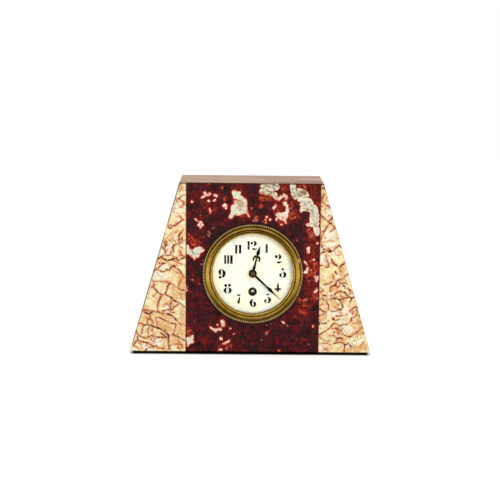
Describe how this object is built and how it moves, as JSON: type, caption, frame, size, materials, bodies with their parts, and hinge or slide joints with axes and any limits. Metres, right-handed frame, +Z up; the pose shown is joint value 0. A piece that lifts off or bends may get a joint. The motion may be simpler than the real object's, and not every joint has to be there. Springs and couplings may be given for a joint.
{
  "type": "mantel clock",
  "caption": "Trapezoid marble mantel clock with a red centre panel, cream wings, a round brass bezel, numbered enamel dial and a wound lever movement.",
  "frame": {"origin": "on the floor, under the middle of the clock's bounding box", "axes": "+Z up, +X to the right of someone facing the dial, -Y out of the dial towards them"},
  "size_m": [0.25, 0.099, 0.1786],
  "materials": {
    "red_marble": "polished, dark red with white and orange inclusions",
    "cream_marble": "polished, cream breccia with brown veins",
    "top_marble": "polished, greyish buff, streaked",
    "felt": "dark pressed felt",
    "gilt_brass": "lacquered, lightly tarnished",
    "brass": "satin",
    "steel": "ground",
    "blued_steel": "blued almost black",
    "enamel": "vitreous enamel, warm white",
    "glass": "clear, slightly domed"
  },
  "bodies": {
    "case": {"front_centre_panel": "red_marble", "front_wing_left": "cream_marble", "front_wing_right": "cream_marble", "base_slab": "top_marble", "top_slab": "top_marble", "side_slab_left": "cream_marble", "side_slab_right": "cream_marble", "back_slab": "top_marble", "foot_front_left": "felt", "foot_front_right": "felt", "foot_back_left": "felt", "foot_back_right": "felt", "seat_ring": "gilt_brass", "bezel_hinge_pin": "brass", "dial": "enamel", "front_plate": "brass", "back_plate": "brass", "pillar_upper_left": "brass", "pillar_upper_right": "brass", "pillar_lower_left": "brass", "pillar_lower_right": "brass", "click_spring": "steel", "escapement_bridge": "brass", "hairspring": "blued_steel", "balance_cock": "brass", "strap_upper": "brass", "strap_lower": "brass", "strap_screw_upper": "steel", "strap_screw_lower": "steel", "back_ring": "gilt_brass", "back_door_hinge_pin": "brass"},
    "bezel": {"bezel_ring": "gilt_brass", "glass": "glass", "sight_ring": "gilt_brass", "bezel_catch": "brass"},
    "back_door": {"back_door": "gilt_brass", "back_door_knob": "gilt_brass"},
    "centre_arbor": {"centre_wheel": "brass", "cannon_pinion": "steel", "minute_hand": "blued_steel", "hand_collet": "brass"},
    "hour_work": {"hour_wheel": "brass", "hour_hand": "blued_steel"},
    "motion_arbor": {"minute_wheel": "brass"},
    "barrel": {"mainspring_barrel": "brass", "barrel_cover": "brass", "mainspring": "steel"},
    "intermediate_arbor": {"intermediate_wheel": "brass"},
    "third_arbor": {"third_wheel": "brass"},
    "fourth_arbor": {"fourth_wheel": "brass"},
    "escape_arbor": {"escape_wheel": "steel"},
    "winding": {"winding_arbor": "steel", "ratchet_wheel": "steel"},
    "click": {"click": "steel"},
    "pallets": {"pallet_lever": "steel"},
    "balance": {"balance_wheel": "brass"},
    "regulator": {"regulator": "steel"}
  },
  "joints": [
    {"name": "bezel_opening", "type": "hinge", "parent": "case", "child": "bezel", "pos_m": [0.04879, -0.0474, 0.1002], "axis": [-0.309, 0, 0.9511], "range_deg": [0, 110]},
    {"name": "back_door_opening", "type": "hinge", "parent": "case", "child": "back_door", "pos_m": [-0.0464, 0.0434, 0.085], "axis": [0, 0, 1], "range_deg": [0, 120]},
    {"name": "minute_hand_turn", "type": "hinge", "parent": "case", "child": "centre_arbor", "pos_m": [0.002, 0, 0.085], "axis": [0, 1, 0], "continuous": true},
    {"name": "hour_hand_turn", "type": "hinge", "parent": "case", "child": "hour_work", "pos_m": [0.002, 0, 0.085], "axis": [0, 1, 0], "continuous": true},
    {"name": "motion_wheel_turn", "type": "hinge", "parent": "case", "child": "motion_arbor", "pos_m": [-0.00493, 0, 0.089], "axis": [0, 1, 0], "continuous": true},
    {"name": "barrel_turn", "type": "hinge", "parent": "case", "child": "barrel", "pos_m": [0.002, 0, 0.0654], "axis": [0, 1, 0], "continuous": true},
    {"name": "intermediate_turn", "type": "hinge", "parent": "case", "child": "intermediate_arbor", "pos_m": [0.01822, 0, 0.07806], "axis": [0, 1, 0], "continuous": true},
    {"name": "third_turn", "type": "hinge", "parent": "case", "child": "third_arbor", "pos_m": [-0.007, 0, 0.10059], "axis": [0, 1, 0], "continuous": true},
    {"name": "fourth_turn", "type": "hinge", "parent": "case", "child": "fourth_arbor", "pos_m": [0.00646, 0, 0.1025], "axis": [0, 1, 0], "continuous": true},
    {"name": "escape_turn", "type": "hinge", "parent": "case", "child": "escape_arbor", "pos_m": [0.0175, 0, 0.10028], "axis": [0, 1, 0], "continuous": true},
    {"name": "winding_turn", "type": "hinge", "parent": "case", "child": "winding", "pos_m": [0.002, 0, 0.0654], "axis": [0, 1, 0], "continuous": true},
    {"name": "click_lift", "type": "hinge", "parent": "case", "child": "click", "pos_m": [-0.00175, 0, 0.07611], "axis": [0, -1, 0], "range_deg": [0, 10], "stiffness_Nm_per_rad": 0.001, "springref_deg": -5.73},
    {"name": "pallet_rock", "type": "hinge", "parent": "case", "child": "pallets", "pos_m": [0.0115, 0, 0.1061], "axis": [0, 1, 0], "range_deg": [-5, 5]},
    {"name": "balance_swing", "type": "hinge", "parent": "case", "child": "balance", "pos_m": [0.0032, 0, 0.1096], "axis": [0, 1, 0], "range_deg": [-135, 135], "stiffness_Nm_per_rad": 0.000008},
    {"name": "regulator_turn", "type": "hinge", "parent": "case", "child": "regulator", "pos_m": [0.0032, 0, 0.1096], "axis": [0, 1, 0], "range_deg": [-20, 20]}
  ],
  "couplings": [
    {"joint": "hour_hand_turn", "follows": "minute_hand_turn", "ratio": 0.083333},
    {"joint": "motion_wheel_turn", "follows": "minute_hand_turn", "ratio": -0.33333},
    {"joint": "intermediate_turn", "follows": "minute_hand_turn", "ratio": -0.16667},
    {"joint": "barrel_turn", "follows": "minute_hand_turn", "ratio": 0.027778},
    {"joint": "third_turn", "follows": "minute_hand_turn", "ratio": -8},
    {"joint": "fourth_turn", "follows": "minute_hand_turn", "ratio": 60},
    {"joint": "escape_turn", "follows": "minute_hand_turn", "ratio": -480}
  ]
}
